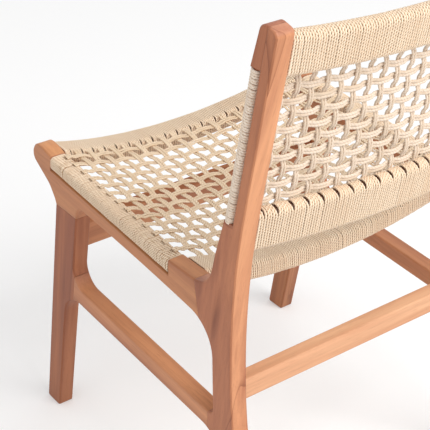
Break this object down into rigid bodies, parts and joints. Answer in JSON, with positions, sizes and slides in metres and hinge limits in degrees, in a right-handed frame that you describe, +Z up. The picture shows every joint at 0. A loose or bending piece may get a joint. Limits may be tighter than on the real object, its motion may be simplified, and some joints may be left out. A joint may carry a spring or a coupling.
{
  "type": "woven side chair",
  "caption": "Low-backed wooden side chair with raked legs, slotted side rails and a dished seat and bowed back of woven cord.",
  "frame": {"origin": "centre of the chair's footprint box, on the floor", "axes": "+X towards the sitter's left, +Y towards the back of the chair, +Z up"},
  "size_m": [0.4914, 0.5947, 0.83],
  "materials": {
    "wood": "satin oil, open grain",
    "cord": "twisted paper cord, matt"
  },
  "bodies": {
    "root": {"left_front_leg": "wood", "right_front_leg": "wood", "left_rear_leg": "wood", "right_rear_leg": "wood", "left_seat_rail": "wood", "right_seat_rail": "wood", "left_side_stretcher": "wood", "right_side_stretcher": "wood", "left_back_strip": "wood", "right_back_strip": "wood", "rear_stretcher": "wood", "front_cross_rail": "wood", "seat_front_rail": "wood", "seat_rear_rail": "wood", "back_top_rail": "wood", "back_lower_rail": "wood", "leg_top_dowels": "wood", "seat_rail_dowels": "wood", "side_stretcher_dowels": "wood", "rear_stretcher_dowels": "wood", "cross_rail_dowels": "wood", "bowed_rail_dowels": "wood", "seat_front_cord_wrap": "cord", "seat_rear_cord_wrap": "cord", "left_seat_cord_wrap": "cord", "right_seat_cord_wrap": "cord", "back_top_cord_wrap": "cord", "back_lower_cord_wrap": "cord", "left_back_cord_wrap": "cord", "right_back_cord_wrap": "cord", "seat_weave": "cord", "back_weave": "cord"}
  },
  "joints": []
}
